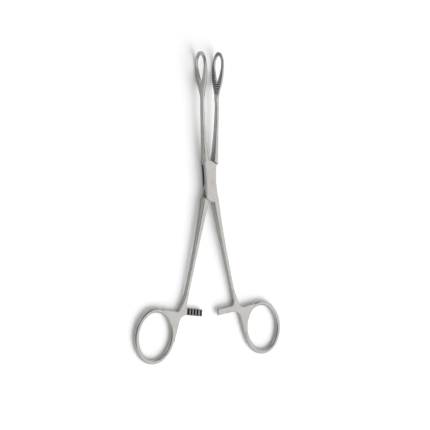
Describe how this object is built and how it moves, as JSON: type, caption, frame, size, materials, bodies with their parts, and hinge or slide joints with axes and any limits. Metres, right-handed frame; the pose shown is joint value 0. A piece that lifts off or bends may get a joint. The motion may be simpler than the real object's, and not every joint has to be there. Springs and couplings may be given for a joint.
{
  "type": "sponge forceps",
  "caption": "Ring-jawed sponge-holding forceps with a box lock, ratchet arms and oval finger rings, shown half open.",
  "frame": {"origin": "on the hinge axis, at the flat rear face of the box lock", "axes": "+Z along the hinge axis towards the front face, +Y along the instrument towards the jaws, +X to the right"},
  "size_m": [0.132, 0.2362, 0.0147],
  "materials": {
    "box_half_steel": "satin stainless steel",
    "tongue_half_steel": "satin stainless steel",
    "pin_steel": "ground flush, satin"
  },
  "bodies": {
    "box_side": {"box_half": "box_half_steel", "lock_pin": "pin_steel"},
    "tongue_side": {"tongue_half": "tongue_half_steel"}
  },
  "joints": [
    {"name": "lock_hinge", "type": "hinge", "parent": "box_side", "child": "tongue_side", "pos_m": [0, 0, 0], "axis": [0, 0, -1], "range_deg": [-8.4, 50]}
  ]
}
